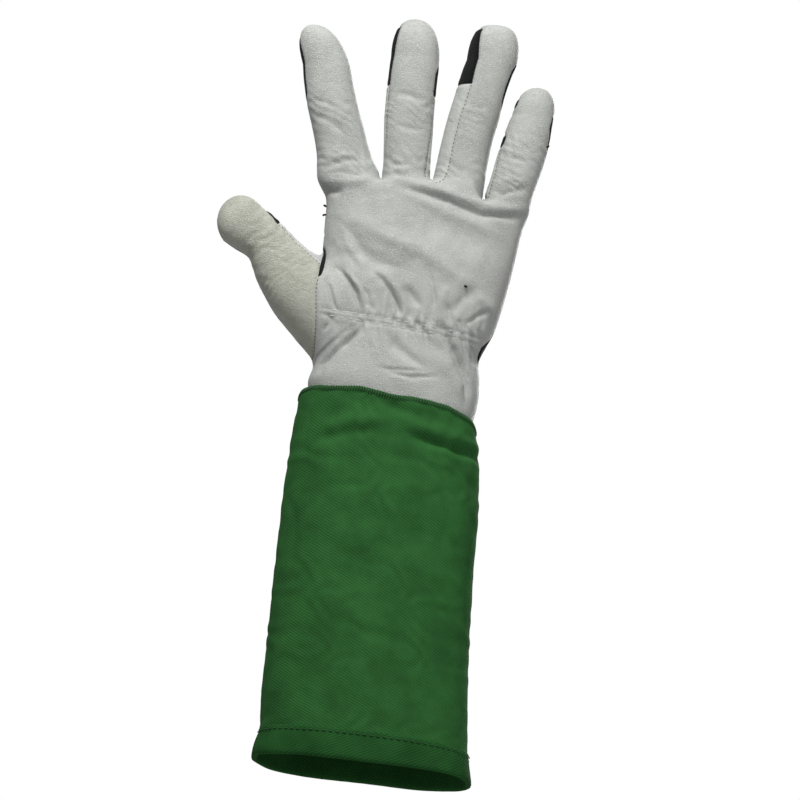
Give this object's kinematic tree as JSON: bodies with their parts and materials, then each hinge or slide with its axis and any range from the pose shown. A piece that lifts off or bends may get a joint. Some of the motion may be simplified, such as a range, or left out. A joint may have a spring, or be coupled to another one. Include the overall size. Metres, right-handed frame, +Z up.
{
  "type": "long-cuff leather work glove",
  "caption": "Left-hand leather work glove for welding, with stretch fabric back, elastic wrist and long tapered cloth cuff.",
  "frame": {"origin": "centre of the cuff's mouth, where the forearm goes in", "axes": "+Z up the forearm towards the fingertips, +X across the palm from the thumb to the little finger, palm towards -Y"},
  "size_m": [0.1682, 0.0804, 0.4028],
  "materials": {
    "grey_leather": "soft light grey grain leather, matt",
    "thumb_leather": "soft cream-grey grain leather, matt",
    "black_fabric": "black stretch knit, matt",
    "cuff_twill": "green cotton twill, matt",
    "cuff_hem_twill": "green cotton twill, doubled and stitched",
    "elastic": "woven white elastic"
  },
  "bodies": {
    "gauntlet": {"cuff_front_panel": "cuff_twill", "cuff_back_panel": "cuff_twill", "cuff_hem": "cuff_hem_twill", "wrist_leather": "grey_leather", "wrist_back_fabric": "black_fabric", "wrist_leather_fold": "grey_leather", "wrist_fabric_fold": "black_fabric"},
    "hand": {"palm_leather": "grey_leather", "back_fabric": "black_fabric", "wrist_elastic": "elastic", "index_base_fold": "grey_leather", "middle_base_fold": "grey_leather", "ring_base_fold": "grey_leather", "little_base_fold": "grey_leather", "thumb_base_fold": "thumb_leather"},
    "index_lower": {"index_lower_front": "grey_leather", "index_lower_back": "black_fabric", "index_lower_right_strip": "grey_leather", "index_middle_fold": "grey_leather"},
    "index_upper": {"index_upper_front": "grey_leather", "index_upper_back": "black_fabric"},
    "middle_lower": {"middle_lower_front": "grey_leather", "middle_lower_back": "black_fabric", "middle_lower_right_strip": "grey_leather", "middle_lower_left_strip": "grey_leather", "middle_middle_fold": "grey_leather"},
    "middle_upper": {"middle_upper_front": "grey_leather", "middle_upper_back": "black_fabric"},
    "ring_lower": {"ring_lower_front": "grey_leather", "ring_lower_back": "black_fabric", "ring_lower_right_strip": "grey_leather", "ring_lower_left_strip": "grey_leather", "ring_middle_fold": "grey_leather"},
    "ring_upper": {"ring_upper_front": "grey_leather", "ring_upper_back": "black_fabric"},
    "little_lower": {"little_lower_front": "grey_leather", "little_lower_back": "black_fabric", "little_lower_left_strip": "grey_leather", "little_middle_fold": "grey_leather"},
    "little_upper": {"little_upper_front": "grey_leather", "little_upper_back": "black_fabric"},
    "thumb_lower": {"thumb_lower_front": "thumb_leather", "thumb_lower_strip": "grey_leather", "thumb_lower_back": "black_fabric", "thumb_middle_fold": "thumb_leather"},
    "thumb_upper": {"thumb_upper_front": "thumb_leather", "thumb_upper_back": "black_fabric"}
  },
  "joints": [
    {"name": "wrist_bend", "type": "hinge", "parent": "gauntlet", "child": "hand", "pos_m": [0, 0, 0.222], "axis": [1, 0, 0], "range_deg": [-40, 40], "deforming": ["wrist_leather_fold", "wrist_fabric_fold"]},
    {"name": "index_base_bend", "type": "hinge", "parent": "hand", "child": "index_lower", "pos_m": [-0.037, -0.003, 0.323], "axis": [1, 0, 0], "range_deg": [0, 60], "deforming": ["index_base_fold"]},
    {"name": "index_middle_bend", "type": "hinge", "parent": "index_lower", "child": "index_upper", "pos_m": [-0.044, -0.003, 0.347], "axis": [1, 0, 0], "range_deg": [0, 75], "deforming": ["index_middle_fold"]},
    {"name": "middle_base_bend", "type": "hinge", "parent": "hand", "child": "middle_lower", "pos_m": [-0.0044, -0.003, 0.325], "axis": [1, 0, 0], "range_deg": [0, 60], "deforming": ["middle_base_fold"]},
    {"name": "middle_middle_bend", "type": "hinge", "parent": "middle_lower", "child": "middle_upper", "pos_m": [-0.0053, -0.003, 0.35], "axis": [1, 0, 0], "range_deg": [0, 75], "deforming": ["middle_middle_fold"]},
    {"name": "ring_base_bend", "type": "hinge", "parent": "hand", "child": "ring_lower", "pos_m": [0.024, -0.003, 0.325], "axis": [1, 0, 0], "range_deg": [0, 60], "deforming": ["ring_base_fold"]},
    {"name": "ring_middle_bend", "type": "hinge", "parent": "ring_lower", "child": "ring_upper", "pos_m": [0.028, -0.003, 0.35], "axis": [1, 0, 0], "range_deg": [0, 75], "deforming": ["ring_middle_fold"]},
    {"name": "little_base_bend", "type": "hinge", "parent": "hand", "child": "little_lower", "pos_m": [0.0515, -0.003, 0.319], "axis": [1, 0, 0], "range_deg": [0, 60], "deforming": ["little_base_fold"]},
    {"name": "little_middle_bend", "type": "hinge", "parent": "little_lower", "child": "little_upper", "pos_m": [0.056, -0.003, 0.338], "axis": [1, 0, 0], "range_deg": [0, 75], "deforming": ["little_middle_fold"]},
    {"name": "thumb_base_swing", "type": "hinge", "parent": "hand", "child": "thumb_lower", "pos_m": [-0.045, -0.01, 0.246], "axis": [0, 0, 1], "range_deg": [0, 40], "deforming": ["thumb_base_fold"]},
    {"name": "thumb_middle_bend", "type": "hinge", "parent": "thumb_lower", "child": "thumb_upper", "pos_m": [-0.0747, -0.003, 0.2757], "axis": [0.7071, 0, 0.7071], "range_deg": [0, 70], "deforming": ["thumb_middle_fold"]}
  ]
}
